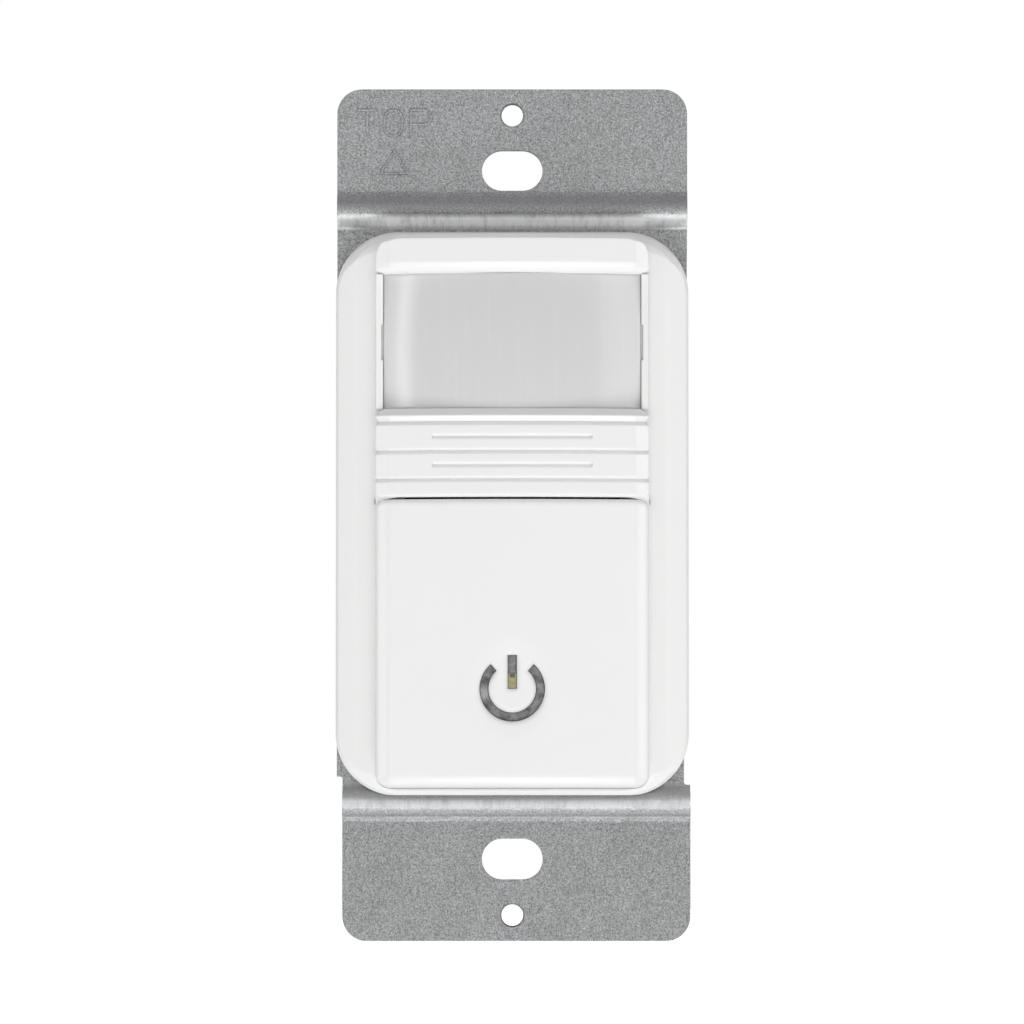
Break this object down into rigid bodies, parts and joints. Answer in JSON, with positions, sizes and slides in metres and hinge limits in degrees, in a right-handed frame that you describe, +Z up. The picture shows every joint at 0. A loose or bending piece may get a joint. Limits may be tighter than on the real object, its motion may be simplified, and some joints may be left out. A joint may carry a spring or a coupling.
{
  "type": "motion sensor light switch",
  "caption": "Decorator-format wall switch with a domed motion sensor lens over a ribbed band and a large hinged press paddle, on a steel mounting strap with a rear housing.",
  "frame": {"origin": "on the wall plane (the back of the strap's ears), midway between the two wall-box slots and between the two plate-screw holes", "axes": "+Z up along the strap, +Y into the wall, +X to the right seen from the room; the front faces -Y"},
  "size_m": [0.0428, 0.0388, 0.1032],
  "materials": {
    "strap_steel": "galvanised, fine matte grain",
    "white_plastic": "smooth semi-gloss",
    "lens_plastic": "translucent, satin",
    "smoke_plastic": "smoky clear, polished",
    "lamp_resin": "clear amber resin",
    "board_laminate": "solder resist over laminate",
    "dark_resin": "moulded black resin",
    "switch_plastic": "moulded",
    "plated_sheet": "bright tin plate",
    "filter_glass": "coated infrared filter",
    "spacer_plastic": "moulded white",
    "chip_ceramic": "ceramic chips",
    "gold_plate": "gold-plated pins",
    "relay_case": "moulded case",
    "film_case": "moulded case",
    "sleeve_film": "shrunk sleeve",
    "disc_coating": "dipped epoxy",
    "rod_coating": "dipped epoxy",
    "housing_plastic": "moulded, finely textured",
    "brass": "machined",
    "nickel_plate": "nickel-plated",
    "green_screw": "green-dyed zinc plate",
    "zinc_screw": "zinc-plated"
  },
  "bodies": {
    "body": {"mounting_strap": "strap_steel", "front_bezel": "white_plastic", "pir_lens": "lens_plastic", "status_led": "lamp_resin", "push_switch_body": "switch_plastic", "push_switch_cover": "plated_sheet", "pir_sensor_base": "nickel_plate", "pir_sensor_can": "nickel_plate", "pir_sensor_window": "filter_glass", "sensor_spacer": "spacer_plastic", "daylight_sensor": "smoke_plastic", "control_board": "board_laminate", "controller_chip": "dark_resin", "chip_parts": "chip_ceramic", "header_pins": "gold_plate", "header_socket": "dark_resin", "power_board": "board_laminate", "relay": "relay_case", "film_capacitor": "film_case", "smoothing_capacitor": "sleeve_film", "varistor": "disc_coating", "fusible_resistor": "rod_coating", "rectifier_diodes": "dark_resin", "rear_housing": "housing_plastic", "terminal_plates": "brass", "ground_plate": "brass", "line_screws": "brass", "neutral_screw": "nickel_plate", "ground_screw": "green_screw", "housing_screws": "zinc_screw", "board_screws": "zinc_screw"},
    "paddle": {"paddle": "white_plastic", "light_pipe": "smoke_plastic"},
    "plunger": {"push_switch_plunger": "dark_resin"}
  },
  "joints": [
    {"name": "paddle_tilt", "type": "hinge", "parent": "body", "child": "paddle", "pos_m": [0, -0.0036, 0.0039], "axis": [1, 0, 0], "range_deg": [0, 1.3], "stiffness_Nm_per_rad": 2.2, "springref_deg": -0.29},
    {"name": "plunger_slide", "type": "slide", "parent": "body", "child": "plunger", "axis": [0, 1, 0], "range_m": [0, 0.00038]}
  ],
  "couplings": [
    {"joint": "plunger_slide", "follows": "paddle_tilt", "m_per_rad": 0.0166}
  ]
}
